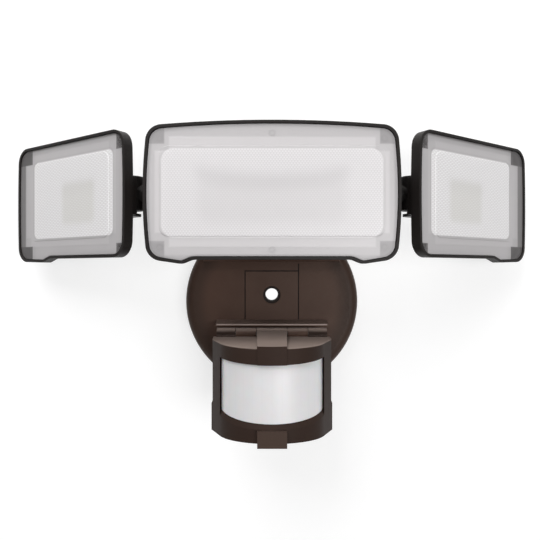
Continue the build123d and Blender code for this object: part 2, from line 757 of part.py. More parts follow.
def side_housing():
    """The side housing with the cradle that carries it on the knuckle's barrel."""
    housing = head_housing(SIDE)
    pivot_x = SIDE.half - PIVOT_INSET
    ear_top = BARREL_BOTTOM_Z - EAR_GAP
    ear_bottom = ear_top - EAR_T
    clear = BARREL_R + MOVE
    front_web = block(pivot_x - clear - CRADLE_T, SIDE.half - SIDE.side_bow / 2,
                      SIDE.rim_depth - OVERRUN, PIVOT_DEPTH - clear, ear_bottom, CRADLE_TOP_Z)
    outer_web = block(pivot_x - clear - CRADLE_T, pivot_x - clear,
                      SIDE.rim_depth, PIVOT_DEPTH + EAR_R, ear_bottom, CRADLE_TOP_Z)
    ear_plate = block(pivot_x - clear - CRADLE_T, pivot_x + EAR_R,
                      SIDE.rim_depth, PIVOT_DEPTH, ear_bottom, ear_top)
    ear_end = rod_z(EAR_R, ear_bottom, ear_top, pivot_x, PIVOT_DEPTH)
    ear_bridge = block(pivot_x - clear - CRADLE_T, pivot_x,
                       PIVOT_DEPTH, PIVOT_DEPTH + EAR_R, ear_bottom, ear_top)
    housing += front_web + outer_web + ear_plate + ear_end + ear_bridge
    housing -= rod_z(PIVOT_PIN_R, ear_bottom, ear_top, pivot_x, PIVOT_DEPTH)
    return housing


# ---- motion sensor ----
def sensor_plan(grow=0.0, rear_y=VISOR_REAR_Y):
    """The sensor's plan: a half-round nose with straight cheeks that widen to the rear."""
    radius = NOSE_R + grow
    cheek_x, cheek_y = FRAME_SHOULDER[0] + grow, FRAME_SHOULDER[1]
    reach = hypot(cheek_x, cheek_y - NOSE_CENTRE_Y)
    angle = atan2(cheek_y - NOSE_CENTRE_Y, cheek_x) - acos(radius / reach)
    tangent = (radius * cos(angle), NOSE_CENTRE_Y + radius * sin(angle))
    nose = ThreePointArc(
        (-tangent[0], tangent[1]), (0, NOSE_CENTRE_Y - radius), tangent
    )
    right = Polyline(tangent, (cheek_x, cheek_y), (VISOR_REAR_HALF + grow, rear_y))
    left = Polyline(
        (-VISOR_REAR_HALF - grow, rear_y), (-cheek_x, cheek_y), (-tangent[0], tangent[1])
    )
    rear = Line((VISOR_REAR_HALF + grow, rear_y), (-VISOR_REAR_HALF - grow, rear_y))
    return make_face(Curve() + [nose, right, rear, left])


def rim_underside(y):
    """Height of the bottom rim's slanted lower edge."""
    return RIM_FRONT_Z - RIM_SLOPE * (y - NOSE_FRONT_Y)


def below_slant(front_z, slope):
    """What lies below a plane that rises from the nose's front towards the wall."""
    rear_y = PILLAR_BACK_Y
    rear_z = front_z + slope * (rear_y - NOSE_FRONT_Y)
    far_y = NOSE_FRONT_Y - 10
    far_z = front_z + slope * (far_y - NOSE_FRONT_Y)
    return side_slab([(far_y, -95), (far_y, far_z), (rear_y, rear_z), (rear_y, -95)], -60, 60)


def ahead_of(y, z0, z1):
    """A block that keeps what lies in front of a plane."""
    return block(-60, 60, -110, y, z0, z1)


def sensor_frame():
    """Visor, band, pillars, bottom rim and the strap down the middle, moulded in one."""
    visor = plan_slab(sensor_plan(), VISOR_TOP_Z - VISOR_T, VISOR_TOP_Z)
    top_edges = visor.edges().group_by(Axis.Z)[-1].filter_by(
        lambda edge: edge.center().Y < PILLAR_BACK_Y
    )
    frame = fillet(top_edges, 0.8)
    ring = sensor_plan() - sensor_plan(-BAND_T)
    band = plan_slab(ring, BAND_BOTTOM_Z - 2, VISOR_TOP_Z - VISOR_T)
    band = band & ahead_of(PILLAR_BACK_Y, -40, 0)
    frame += band - below_slant(BAND_BOTTOM_Z, BAND_SLOPE)

    # the pillars stand between the lens and the cheeks
    pillar_plan = sensor_plan() & (Pos(0, -60) * Rectangle(90, 2 * (60 + PILLAR_BACK_Y)))
    pillar_plan -= Pos(0, -60) * Rectangle(2 * OPENING_HALF, 60)
    pillar_plan -= lens_plan(LENS_R + SEAT, PILLAR_BACK_Y + OVERRUN)
    low_z = FLOOR_TOP_Z - FLOOR_T
    frame += plan_slab(pillar_plan, low_z, VISOR_TOP_Z - VISOR_T)

    # bottom rim with a slanted underside and a sloping sill, and the floor inside it
    rim = rim_solid() & side_slab(
        [
            (-110, -50),
            (PILLAR_BACK_Y, -50),
            (PILLAR_BACK_Y, rim_underside(PILLAR_BACK_Y)),
            (-110, rim_underside(-110)),
        ],
        -60,
        60,
    )
    frame += rim
    floor = plan_slab(sensor_plan(-FLOOR_INSET), low_z, FLOOR_TOP_Z)
    frame += floor & ahead_of(CASE_FRONT_Y - SEAT, -90, 0)

    frame -= case_clearance()
    frame += sensor_strap() + chin_block() + sensor_knuckles()
    frame -= rod_x(HINGE_PIN_R + RUN, 1.5 - HINGE_HALF, HINGE_HALF + OVERRUN, HINGE_Y, HINGE_Z)
    for x in (-KNOB_X, 0, KNOB_X):
        frame -= rod_z(KNOB_SHAFT_R + 0.1, low_z - 1, FLOOR_TOP_Z + 1, x, KNOB_Y)
    return frame


def rim_solid():
    """The ring under the lens; its top rises to the rear and slopes outward as a sill."""
    body = plan_slab(sensor_plan(rear_y=PILLAR_BACK_Y), -90, -50)
    body = body & below_slant(SILL_Z - SILL_DROP, SILL_SLOPE)
    core = plan_slab(sensor_plan(-SILL_RUN, PILLAR_BACK_Y), -90, -50)
    core = core & below_slant(SILL_Z, SILL_SLOPE)
    low = body.faces().sort_by(Axis.Z)[-1]
    high = core.faces().sort_by(Axis.Z)[-1]
    solid = body + loft([low, high], ruled=True)
    return solid - plan_slab(lens_plan(LENS_R + LENS_GAP), -91, -49)


def case_clearance():
    """Room between the pillars for the rear case."""
    return block(
        -CASE_HALF - SEAT, CASE_HALF + SEAT,
        CASE_FRONT_Y - SEAT, PILLAR_BACK_Y + 8,
        -90, VISOR_TOP_Z - VISOR_T,
    )


def sensor_strap():
    """The strap from the hinge over the visor, standing a little proud of the nose."""
    half_f, half_r = STRAP_FRONT_HALF, STRAP_REAR_HALF
    front_y = NOSE_FRONT_Y - STRAP_PROUD
    lens_y = NOSE_CENTRE_Y - LENS_R - SEAT
    plan = make_face(
        Polyline(
            (-half_f, front_y - OVERRUN), (half_f, front_y - OVERRUN),
            (half_r, HINGE_Y), (-half_r, HINGE_Y), close=True,
        )
    )
    side = side_slab(
        [
            (front_y - OVERRUN, BAND_BOTTOM_Z),
            (front_y - OVERRUN, STRAP_FRONT_Z),
            (HINGE_Y, STRAP_REAR_Z),
            (HINGE_Y, HINGE_Z),
            (VISOR_REAR_Y, VISOR_TOP_Z - VISOR_T),
            (lens_y, VISOR_TOP_Z - VISOR_T),
            (lens_y, BAND_BOTTOM_Z),
        ],
        -2 * STRAP_REAR_HALF,
        2 * STRAP_REAR_HALF,
    )
    reach = plan_slab(sensor_plan(STRAP_PROUD, HINGE_Y), -40, 0)
    return plan_slab(plan, -40, 0) & side & reach


def chin_block():
    half = STRAP_FRONT_HALF
    front_y = NOSE_FRONT_Y - CHIN_BLOCK_PROUD
    back_y = front_y + CHIN_BLOCK_DEPTH
    low_z = FLOOR_TOP_Z - FLOOR_T
    return side_slab(
        [
            (front_y, CHIN_BLOCK_TOP_Z),
            (front_y, CHIN_BLOCK_BOTTOM_Z),
            (back_y, CHIN_BLOCK_BOTTOM_Z - 1.5),
            (back_y, low_z),
            (front_y + CHIN_BLOCK_T, low_z),
            (front_y + CHIN_BLOCK_T, CHIN_BLOCK_TOP_Z),
        ],
        -half,
        half,
    )


def sensor_knuckles():
    inner, outer = HINGE_SPLITS
    spans = [(-HINGE_HALF, -outer), (-inner, inner), (outer, HINGE_HALF)]
    solids = []
    for low, high in spans:
        web = block(low, high, VISOR_REAR_Y - OVERRUN, HINGE_Y,
                    VISOR_TOP_Z - VISOR_T, HINGE_Z - 0.5)
        solids.append(rod_x(HINGE_R, low, high, HINGE_Y, HINGE_Z) + web)
    return solids[0] + solids[1] + solids[2]


def case_back_y(z):
    """Y of the rear case's sloping back at a height."""
    top_z = VISOR_TOP_Z - VISOR_T
    share = (top_z - z) / (top_z - CASE_BOTTOM_Z)
    return CASE_TOP_BACK_Y + share * (CASE_BOTTOM_BACK_Y - CASE_TOP_BACK_Y)


def sensor_case():
    top_z = VISOR_TOP_Z - VISOR_T
    outer = side_slab(
        [
            (CASE_FRONT_Y, top_z),
            (CASE_TOP_BACK_Y, top_z),
            (CASE_BOTTOM_BACK_Y, CASE_BOTTOM_Z),
            (CASE_FRONT_Y, CASE_BOTTOM_Z),
        ],
        -CASE_HALF,
        CASE_HALF,
    )
    outer = fillet(outer.edges().group_by(Axis.Y)[-1], 2.0)
    inner_top, inner_bottom = top_z - CASE_WALL, CASE_BOTTOM_Z + CASE_WALL
    hollow = side_slab(
        [
            (CASE_FRONT_Y - OVERRUN, inner_top),
            (case_back_y(inner_top) - CASE_WALL, inner_top),
            (case_back_y(inner_bottom) - CASE_WALL, inner_bottom),
            (CASE_FRONT_Y - OVERRUN, inner_bottom),
        ],
        -CASE_HALF + CASE_WALL,
        CASE_HALF - CASE_WALL,
    )
    case = outer - hollow
    for x, z in board_screw_places():
        post = rod_y(2.6, SENSOR_BOARD_Y + BOARD_T, case_back_y(z) - CASE_WALL / 2, x, z)
        bore = rod_y(BOARD_SCREW_R + 0.02, SENSOR_BOARD_Y + BOARD_T,
                     case_back_y(z) - CASE_WALL, x, z)
        case += post - bore
    ear_back = PILLAR_BACK_Y + CASE_EAR_T
    for x, z in case_screw_places():
        side = x / abs(x)
        low, high = sorted((x - side * (CASE_SCREW_OUT + 0.8), x + side * 2))
        case += block(low, high, PILLAR_BACK_Y, ear_back, z - CASE_EAR_HALF, z + CASE_EAR_HALF)
        case -= rod_y(CASE_SCREW_R + 0.1, PILLAR_BACK_Y - 1, ear_back + 1, x, z)
    return case


def board_screw_places():
    high = SENSOR_BOARD_TOP_Z - BOARD_SCREW_INSET
    low = SENSOR_BOARD_BOTTOM_Z + BOARD_SCREW_INSET
    half = SENSOR_BOARD_HALF - BOARD_SCREW_INSET
    return [(-half, high), (half, high), (-half, low), (half, low)]


def case_screw_places():
    x = CASE_HALF + CASE_SCREW_OUT
    return [(side * x, z) for z in CASE_SCREW_Z for side in (-1, 1)]


def sensor_board_screws():
    screws = []
    for x, z in board_screw_places():
        screw = rod_y(2.1, SENSOR_BOARD_Y - 1.2, SENSOR_BOARD_Y, x, z)
        end = SENSOR_BOARD_Y + BOARD_SCREW_LENGTH
        screws.append(screw + rod_y(BOARD_SCREW_R, SENSOR_BOARD_Y, end, x, z))
    return Compound(screws)


def sensor_case_screws():
    back_y = PILLAR_BACK_Y + CASE_EAR_T
    tip_y = PILLAR_BACK_Y - CASE_SCREW_REACH
    screws = []
    for x, z in case_screw_places():
        screw = rod_y(2.2, back_y, back_y + 1.4, x, z)
        screws.append(screw + rod_y(CASE_SCREW_R, tip_y, back_y, x, z))
    return Compound(screws)


def screw_sockets():
    """Blind holes in the pillars for the case screws."""
    tip_y = PILLAR_BACK_Y - CASE_SCREW_REACH
    places = case_screw_places()
    return Compound([rod_y(CASE_SCREW_R, tip_y, PILLAR_BACK_Y, x, z) for x, z in places])


def sensor_lens():
    outer_plan = lens_plan(LENS_R)
    inner_plan = lens_plan(LENS_R - SENSOR_LENS_T)
    return plan_slab(outer_plan - inner_plan, FLOOR_TOP_Z, VISOR_TOP_Z - VISOR_T - SEAT)


def lens_plan(radius, back_y=CASE_FRONT_Y - SEAT):
    nose = ThreePointArc(
        (-radius, NOSE_CENTRE_Y), (0, NOSE_CENTRE_Y - radius), (radius, NOSE_CENTRE_Y)
    )
    legs = Polyline((radius, NOSE_CENTRE_Y), (radius, back_y), (-radius, back_y),
                    (-radius, NOSE_CENTRE_Y))
    return make_face(Curve() + [nose, legs])


def sensor_board():
    board = block(
        -SENSOR_BOARD_HALF + 1, SENSOR_BOARD_HALF - 1, SENSOR_BOARD_Y, SENSOR_BOARD_Y + BOARD_T,
        SENSOR_BOARD_BOTTOM_Z, SENSOR_BOARD_TOP_Z,
    )
    for x, z in board_screw_places():
        board -= rod_y(1.2, SENSOR_BOARD_Y - 1, SENSOR_BOARD_Y + 3, x, z)
    return board


def pir_detector():
    can = rod_y(4.6, SENSOR_BOARD_Y - 4.2, SENSOR_BOARD_Y, 0, -48)
    return can + rod_y(5.1, SENSOR_BOARD_Y - 0.5, SENSOR_BOARD_Y, 0, -48)


def light_cell():
    return rod_y(2.5, SENSOR_BOARD_Y - 2.2, SENSOR_BOARD_Y, 16, -40)


def sensor_relay():
    back = SENSOR_BOARD_Y + BOARD_T
    return block(-20, -5, back, back + 7, -44, -32)


def sensor_capacitor():
    return rod_x(3.0, 2, 18, SENSOR_BOARD_Y + BOARD_T + 3.0, -50)


def potentiometers():
    half = POT_SIZE / 2
    pots = []
    for x in (-KNOB_X, 0, KNOB_X):
        body = block(x - half, x + half, KNOB_Y - half, KNOB_Y + half,
                     FLOOR_TOP_Z, FLOOR_TOP_Z + POT_H)
        pots.append(body - rod_z(KNOB_SHAFT_R + RUN, FLOOR_TOP_Z, FLOOR_TOP_Z + 3.2, x, KNOB_Y))
    return Compound(pots)


def knob(x):
    top = FLOOR_TOP_Z - FLOOR_T - 0.3
    disc = rod_z(KNOB_R, top - KNOB_T, top, x, KNOB_Y)
    lower = disc.edges().filter_by(GeomType.CIRCLE).sort_by(Axis.Z)[0]
    disc = chamfer(lower, 0.5)
    disc -= block(x - 0.6, x + 0.6, KNOB_Y - KNOB_R, KNOB_Y + 1.5, top - KNOB_T, top - KNOB_T + 1)
    return disc + rod_z(KNOB_SHAFT_R, top, FLOOR_TOP_Z + 3.0, x, KNOB_Y)


# ---- assembly ----
HEAD_PIECES = {
    "gasket": head_gasket,
    "led_board": head_led_board,
    "led_chips": head_led_chips,
    "reflector": head_reflector,
    "lens": head_lens,
    "cover_screws": head_cover_screws,
}


def build_pieces():
    pieces = {
        "wall_canopy": wall_canopy(),
        "wall_gasket": wall_gasket(),
        "tilt_bolt": tilt_bolt(),
        "tilt_nut": tilt_nut(),
        "tilt_washers": tilt_washers(),
        "sensor_hinge_pin": sensor_hinge_pin(),
        "middle_housing": place_middle(middle_housing()),
        "sensor_frame": sensor_frame() - screw_sockets(),
        "sensor_case": sensor_case(),
        "sensor_case_screws": sensor_case_screws(),
        "sensor_lens": sensor_lens(),
        "sensor_board": sensor_board(),
        "sensor_board_screws": sensor_board_screws(),
        "pir_detector": pir_detector(),
        "light_cell": light_cell(),
        "sensor_relay": sensor_relay(),
        "sensor_capacitor": sensor_capacitor(),
        "sensor_potentiometers": potentiometers(),
        "time_knob": knob(-KNOB_X),
        "light_level_knob": knob(0),
        "range_knob": knob(KNOB_X),
    }
    for name, make in HEAD_PIECES.items():
        pieces[f"middle_{name}"] = place_middle(make(MIDDLE))
    left = {name: place_side(make(SIDE)) for name, make in HEAD_PIECES.items()}
    left["housing"] = place_side(side_housing())
    left["knuckle"] = place_knuckle(knuckle())
    left["knuckle_nut"] = place_knuckle(knuckle_nut())
    left["knuckle_seal"] = place_knuckle(knuckle_seal())
    left["pivot_screw"] = place_knuckle(pivot_screw())
    for name, shape in left.items():
        pieces[f"left_{name}"] = shape
        pieces[f"right_{name}"] = mirrored(shape)
    return pieces


os.makedirs("parts", exist_ok=True)
for node, shape in build_pieces().items():
    export_step(shape, f"parts/{node}.step")
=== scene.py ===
import json
import math

import bpy  # noqa: E402
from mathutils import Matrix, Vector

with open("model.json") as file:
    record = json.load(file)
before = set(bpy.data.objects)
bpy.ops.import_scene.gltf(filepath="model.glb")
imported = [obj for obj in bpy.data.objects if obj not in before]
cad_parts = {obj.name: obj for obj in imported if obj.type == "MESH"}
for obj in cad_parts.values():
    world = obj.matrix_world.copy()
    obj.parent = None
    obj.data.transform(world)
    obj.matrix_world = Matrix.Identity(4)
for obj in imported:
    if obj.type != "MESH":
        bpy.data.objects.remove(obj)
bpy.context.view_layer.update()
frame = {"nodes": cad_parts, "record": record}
NODES = frame["nodes"]
scene = bpy.context.scene


def rgb(red, green, blue):
    """A colour given as it shows on screen, 0 to 255."""
    linear = []
    for value in (red, green, blue):
        share = value / 255
        linear.append(share / 12.92 if share <= 0.04045 else ((share + 0.055) / 1.055) ** 2.4)
    return (*linear, 1.0)


# ---- places on the part, in metres ----
SIDE_YAW = math.radians(33.9)       # of a side head, from the wall
PIVOT = (0.084, -0.061)             # the right pivot, mirrored in X for the left
PIVOT_IN_HEAD = (0.04365, 0.016)    # the same point in a side head's own frame
MIDDLE_FRONT_Y = -0.084
CANOPY_FACE_Y = -0.018
CANOPY_SHOULDER_R = (0.042, 0.053)  # where the canopy's front starts and has turned away
CANOPY_EDGE_R = (0.0588, 0.0596)
PANEL_ZONE = (0.0190, -0.0130, 0.0300, 0.0)
LIP_FRONT_Y = -0.029
LIP_ZONE = (0.0370, -0.0153, -0.0140, 0.0)
HINGE_TOP_Z = (-0.0160, -0.0170)
NOSE_CENTRE_Y = -0.0564
VISOR_BOTTOM_Z = (-0.045, -0.035)
TAB_FRONT_Y = (-0.0891, -0.0894)

# ---- tones that belong to one place ----
# painted light: the pale tone of the sensor's upward faces, as if lit from above
PAINTED_TOP_LIGHT = rgb(142, 127, 119)
# painted shade on the canopy's shoulder, where it turns away
SHOULDER_SHADE_TONE = rgb(54, 40, 33)
# painted reflection along the canopy's outer edge
EDGE_HIGHLIGHT_TONE = rgb(112, 96, 88)
# painted shade in the panel's grooves
GROOVE_SHADE_TONE = rgb(16, 10, 7)
# painted highlight on the lip's front top edge
LIP_HIGHLIGHT_TONE = rgb(176, 160, 152)
TAB_TONE = rgb(76, 62, 55)
# painted shade in an arc across the upper part of a cover's window
ARC_SHADE_TONE = rgb(186, 183, 185)

# ---- strengths ----
COAT_ROUGHNESS = 0.5
COAT_WEAR = 0.4
# share of the painted top light on a coat's upward faces
COAT_TOP_LIGHT_SHARE = 0.85
TAB_SHARE = 0.7
LED_SHARE = 0.40
LINE_SHARE = 0.5
# how far the painted shade arc bends down towards its ends
ARC_SHADE_BEND = -2.3
SEAMS_PER_RADIAN = 5.5


# ---- node helpers ----
class Tree:
    """A material's node tree, with short calls that make nodes and link them."""

    def __init__(self, name):
        self.material = bpy.data.materials.new(name)
        self.material.use_nodes = True
        self.nodes = self.material.node_tree.nodes
        self.links = self.material.node_tree.links
        self.shader = self.nodes["Principled BSDF"]
        self.output = self.nodes["Material Output"]

    def feed(self, socket, value):
        """Links a socket to another one, or sets its constant; None leaves it as it is."""
        if isinstance(value, bpy.types.NodeSocket):
            self.links.new(value, socket)
        elif value is not None:
            socket.default_value = value

    def math(self, operation, a, b=None, clamp=False):
        node = self.nodes.new("ShaderNodeMath")
        node.operation = operation
        node.use_clamp = clamp
        self.feed(node.inputs[0], a)
        self.feed(node.inputs[1], b)
        return node.outputs[0]

    def times(self, a, b):
        return self.math("MULTIPLY", a, b)

    def mix(self, factor, a, b):
        node = self.nodes.new("ShaderNodeMix")
        node.data_type = "RGBA"
        self.feed(node.inputs[0], factor)
        self.feed(node.inputs[6], a)
        self.feed(node.inputs[7], b)
        return node.outputs[2]

    def place(self):
        return self.nodes.new("ShaderNodeTexCoord").outputs["Object"]

    def moved(self, vector, location=(0, 0, 0), turn=0.0, scale=(1, 1, 1)):
        """Scaled, turned about Z and then moved."""
        node = self.nodes.new("ShaderNodeMapping")
        self.feed(node.inputs[0], vector)
        node.inputs[1].default_value = location
        node.inputs[2].default_value = (0, 0, turn)
        node.inputs[3].default_value = scale
        return node.outputs[0]

    def noise(self, vector, scale, detail=2.0, roughness=0.5):
        node = self.nodes.new("ShaderNodeTexNoise")
        self.feed(node.inputs["Vector"], vector)
        node.inputs["Scale"].default_value = scale
        node.inputs["Detail"].default_value = detail
        node.inputs["Roughness"].default_value = roughness
        return node.outputs[0]

    def ramp(self, value, low, high, out_low=0.0, out_high=1.0):
        """A smooth step from out_low at low to out_high at high, where low may be the larger."""
        node = self.nodes.new("ShaderNodeMapRange")
        node.interpolation_type = "SMOOTHSTEP"
        self.feed(node.inputs[0], value)
        for index, number in enumerate((low, high, out_low, out_high), start=1):
            self.feed(node.inputs[index], number)
        return node.outputs[0]

    def split(self, vector):
        node = self.nodes.new("ShaderNodeSeparateXYZ")
        self.feed(node.inputs[0], vector)
        return node.outputs

    def bump(self, height, strength, distance, normal=None):
        node = self.nodes.new("ShaderNodeBump")
        node.inputs["Strength"].default_value = strength
        node.inputs["Distance"].default_value = distance
        self.feed(node.inputs["Height"], height)
        self.feed(node.inputs["Normal"], normal)
        return node.outputs[0]

    def upward(self):
        """0 to 1 as a surface turns to face up, in the piece's own space."""
        normal = self.nodes.new("ShaderNodeTexCoord").outputs["Normal"]
        return self.ramp(self.split(normal)[2], 0.25, 0.9)

    def soft_edges(self, radius):
        node = self.nodes.new("ShaderNodeBevel")
        node.samples = 4
        node.inputs["Radius"].default_value = radius
        return node.outputs[0]

    def set(self, **sockets):
        """Feeds the shader's sockets, named with underscores for their spaces."""
        for name, value in sockets.items():
            self.feed(self.shader.inputs[name.replace("_", " ")], value)
        return self.material


# ---- masks, which are 1 inside a zone of the front view and 0 outside it ----
def rounded_mask(tree, across, up, zone, soft):
    """A rounded rectangle: left, right, low, high and the corners' radius."""
    left, right, low, high, corner = zone
    beyond = []
    for value, start, end in ((across, left, right), (up, low, high)):
        offset = tree.math("SUBTRACT", value, (start + end) / 2)
        over = tree.math("SUBTRACT", tree.math("ABSOLUTE", offset), (end - start) / 2 - corner)
        over = tree.math("MAXIMUM", over, 0.0)
        beyond.append(tree.times(over, over))
    distance = tree.math("SQRT", tree.math("ADD", *beyond))
    return tree.ramp(distance, corner + soft, corner - soft)


def notched_mask(tree, across, up, zone, soft):
    """A rectangle with square cuts at its corners: half width, low, high and the cuts' side."""
    half_width, low, high, notch = zone
    reach = tree.math("SUBTRACT", tree.math("ABSOLUTE", across), half_width)
    height = tree.math("ABSOLUTE", tree.math("SUBTRACT", up, (low + high) / 2))
    rise = tree.math("SUBTRACT", height, (high - low) / 2)
    corner = tree.math("ADD", tree.math("MINIMUM", reach, rise), notch)
    beyond = tree.math("MAXIMUM", tree.math("MAXIMUM", reach, rise), corner)
    return tree.ramp(beyond, soft, -soft)


def dimples(tree, across, up, pitch_across, pitch_up):
    """Staggered rows of small round dimples, 1 at each centre."""
    row = tree.math("DIVIDE", up, pitch_up)
    odd = tree.math("FLOORED_MODULO", tree.math("FLOOR", row), 2.0)
    column = tree.math("ADD", tree.math("DIVIDE", across, pitch_across), tree.times(odd, 0.5))
    squares = []
    for place in (column, row):
        offset = tree.math("SUBTRACT", tree.math("FRACT", place), 0.5)
        squares.append(tree.times(offset, offset))
    return tree.ramp(tree.math("ADD", *squares), 0.24, 0.0)


# ---- materials ----
def canopy_painted_light(tree, place, base):
    """Painted shade on the canopy's shoulder, a painted reflection on its outer edge, painted shade
    in its grooves, and a painted highlight on the lip's front edge.
    """
    across, back, up = tree.split(place)
    square = tree.math("ADD", tree.times(across, across), tree.times(up, up))
    radius = tree.math("SQRT", square)
    body = tree.ramp(back, CANOPY_FACE_Y - 0.0006, CANOPY_FACE_Y - 0.0002)
    # painted shade: the shoulder darkens where it turns away from the front
    shoulder = tree.times(tree.ramp(radius, *CANOPY_SHOULDER_R), body)
    base = tree.mix(tree.times(shoulder, 0.75), base, SHOULDER_SHADE_TONE)
    # painted highlight: a pale reflection along the canopy's outer edge
    edge = tree.times(tree.ramp(radius, *CANOPY_EDGE_R), body)
    base = tree.mix(tree.times(edge, 0.7), base, EDGE_HIGHLIGHT_TONE)
    # painted shade: the panel's grooves are darkened where shade falls in them
    sunk = tree.ramp(back, CANOPY_FACE_Y + 0.0001, CANOPY_FACE_Y + 0.0003)
    skin = tree.ramp(back, CANOPY_FACE_Y + 0.0018, CANOPY_FACE_Y + 0.0015)
    panel = notched_mask(tree, across, up, PANEL_ZONE, 0.0002)
    groove_shade = tree.times(tree.times(sunk, skin), panel)
    base = tree.mix(tree.times(groove_shade, 0.85), base, GROOVE_SHADE_TONE)
    # painted highlight: a bright line along the lip's front top edge
    lip_front = tree.ramp(back, LIP_FRONT_Y + 0.0009, LIP_FRONT_Y + 0.0003)
    lip = notched_mask(tree, across, up, LIP_ZONE, 0.0002)
    return tree.mix(tree.times(lip_front, lip), base, LIP_HIGHLIGHT_TONE)


def powder_coat(name, colour, edge_colour, lit_top_colour, specular, canopy=False):
    """Textured powder coat: orange peel, faint cloudiness, paler edges, and painted light that
    makes upward faces paler.
    """
    tree = Tree(name)
    place = tree.place()
    peel = tree.noise(place, scale=900.0, detail=3.0, roughness=0.6)
    clouds = tree.noise(place, scale=28.0, detail=3.0)
    normal = tree.bump(peel, 0.2, 0.0002, tree.soft_edges(0.0004))
    pointy = tree.nodes.new("ShaderNodeNewGeometry").outputs["Pointiness"]
    worn = tree.ramp(pointy, 0.53, 0.62)
    cloudy = tree.mix(tree.ramp(clouds, 0.35, 0.65, 0.0, 0.3), colour, edge_colour)
    base = tree.mix(tree.times(worn, COAT_WEAR), cloudy, edge_colour)
    # painted light: the top of the canopy's hinge barrel gets the sensor's painted top light
    if canopy:
        hinge = tree.ramp(tree.split(place)[2], *HINGE_TOP_Z)
        lit_top_colour = tree.mix(hinge, lit_top_colour, PAINTED_TOP_LIGHT)
    # painted light: upward faces turn paler, as if lit from above
    base = tree.mix(tree.times(tree.upward(), COAT_TOP_LIGHT_SHARE), base, lit_top_colour)
    if canopy:
        base = canopy_painted_light(tree, place, base)
    rough = tree.ramp(peel, 0.3, 0.7, COAT_ROUGHNESS - 0.06, COAT_ROUGHNESS + 0.08)
    return tree.set(Base_Color=base, Roughness=rough, Normal=normal, Specular_IOR_Level=specular)


def sensor_top_light_and_tab(tree, place, base, lit_top_colour):
    """Painted light that makes the sensor's upward faces paler, and the paler front of the tab
    below its lens.
    """
    _, back, up = tree.split(place)
    above_visor_bottom = tree.ramp(up, *VISOR_BOTTOM_Z)
    proud = tree.ramp(back, *TAB_FRONT_Y)
    low_tab = tree.times(proud, tree.math("SUBTRACT", TAB_SHARE, above_visor_bottom, clamp=True))
    base = tree.mix(low_tab, base, TAB_TONE)
    # painted light: upward faces above the visor's bottom turn paler, as if lit from above
    return tree.mix(tree.times(tree.upward(), above_visor_bottom), base, lit_top_colour)


def moulded(name, colour, second, roughness, lit_top_colour=None, specular=0.5):
    """Moulded plastic with a light grain, faint flow shading, and painted light on upward faces if
    asked.
    """
    tree = Tree(name)
    place = tree.place()
    grain = tree.noise(place, scale=1600.0)
    flow = tree.noise(tree.moved(place, scale=(1.0, 1.0, 0.25)), scale=45.0, detail=3.0)
    base = tree.mix(tree.ramp(flow, 0.35, 0.65, 0.0, 0.5), colour, second)
    if lit_top_colour is not None:
        base = sensor_top_light_and_tab(tree, place, base, lit_top_colour)
    normal = tree.bump(grain, 0.12, 0.0002, tree.soft_edges(0.0003))
    rough = tree.ramp(flow, 0.3, 0.7, roughness - 0.05, roughness + 0.05)
    return tree.set(Base_Color=base, Roughness=rough, Normal=normal, Specular_IOR_Level=specular)


def metal(name, colour, roughness=0.3):
    """Turned or plated metal with fine marks across its length."""
    tree = Tree(name)
    marks = tree.noise(tree.moved(tree.place(), scale=(1.0, 1.0, 6.0)), scale=700.0)
    rough = tree.ramp(marks, 0.3, 0.7, roughness - 0.08, roughness + 0.1)
    normal = tree.bump(marks, 0.1, 0.0001, tree.soft_edges(0.0002))
    return tree.set(Base_Color=colour, Metallic=1.0, Roughness=rough, Normal=normal)


def head_frame(tree, side):
    """Coordinates in a head's own frame: X across, Y back from its front, Z up."""
    place = tree.place()
    if side == 0:
        return tree.moved(place, location=(0, -MIDDLE_FRONT_Y, 0))
    at_pivot = tree.moved(place, location=(-side * PIVOT[0], -PIVOT[1], 0))
    turned = tree.moved(at_pivot, turn=-side * SIDE_YAW)
    return tree.moved(turned, location=(-side * PIVOT_IN_HEAD[0], PIVOT_IN_HEAD[1], 0))


